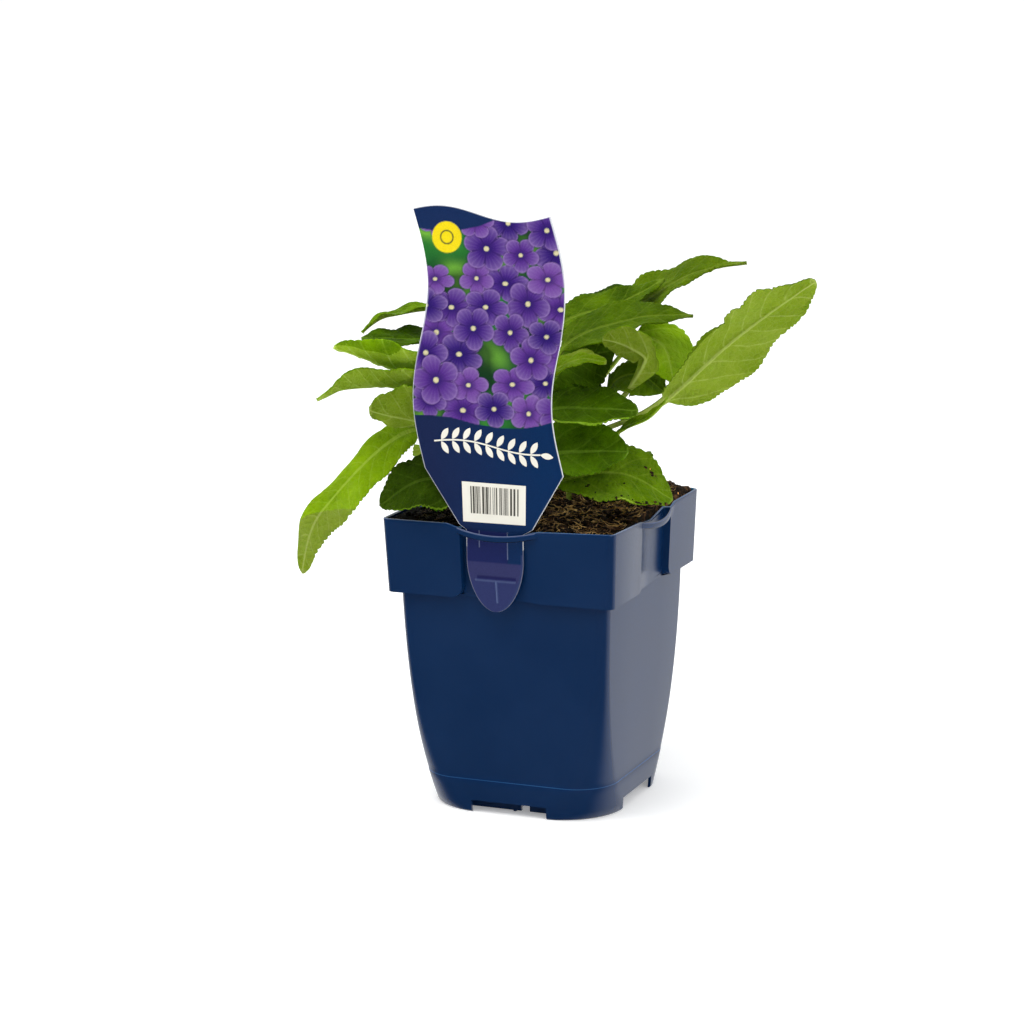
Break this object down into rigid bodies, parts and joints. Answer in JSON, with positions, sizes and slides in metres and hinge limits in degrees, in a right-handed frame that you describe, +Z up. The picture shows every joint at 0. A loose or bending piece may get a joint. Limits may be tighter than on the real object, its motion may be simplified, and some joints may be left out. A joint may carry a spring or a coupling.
{
  "type": "potted bellflower",
  "caption": "Square dark blue nursery pot filled with peat, holding a young clump of toothed bellflower leaves and a tall picture label in its rim.",
  "frame": {"origin": "centre of the square pot's underside, on the plane its feet stand on", "axes": "+Z up; the pot's front, with the label, looks along -Y; +X is to the right as seen from the front"},
  "size_m": [0.2168, 0.1626, 0.2731],
  "materials": {
    "pot_plastic": "moulded dark blue polypropylene, satin",
    "peat": "damp dark brown peat with fibres",
    "label_plastic": null,
    "leaf_bright": "young yellow-green leaf",
    "leaf_mid": "green leaf",
    "leaf_dark": "deep green older leaf"
  },
  "bodies": {
    "root": {"pot": "pot_plastic", "soil": "peat", "label": "label_plastic", "leaf_left_top": "leaf_mid", "leaf_left_upper": "leaf_dark", "leaf_left_wide": "leaf_mid", "leaf_left_long": "leaf_mid", "leaf_left_short": "leaf_mid", "leaf_left_drooping": "leaf_bright", "leaf_left_low": "leaf_dark", "leaf_right_behind": "leaf_dark", "leaf_right_arching": "leaf_bright", "leaf_right_middle": "leaf_mid", "leaf_right_pointed": "leaf_mid", "leaf_right_folded": "leaf_bright", "leaf_right_facing": "leaf_bright", "leaf_right_large": "leaf_bright", "leaf_right_dark": "leaf_dark", "leaf_right_lower": "leaf_dark", "leaf_right_resting": "leaf_mid", "leaf_right_upturned": "leaf_bright", "leaf_right_narrow": "leaf_mid", "leaf_right_shaded": "leaf_dark", "leaf_right_inner": "leaf_dark", "leaf_right_small": "leaf_mid", "leaf_back_left": "leaf_mid", "leaf_back_middle": "leaf_bright", "leaf_back_right": "leaf_mid", "leaf_back_far": "leaf_dark", "leaf_back_low": "leaf_mid", "leaf_inner_upright": "leaf_bright", "leaf_inner_front": "leaf_mid"}
  },
  "joints": []
}
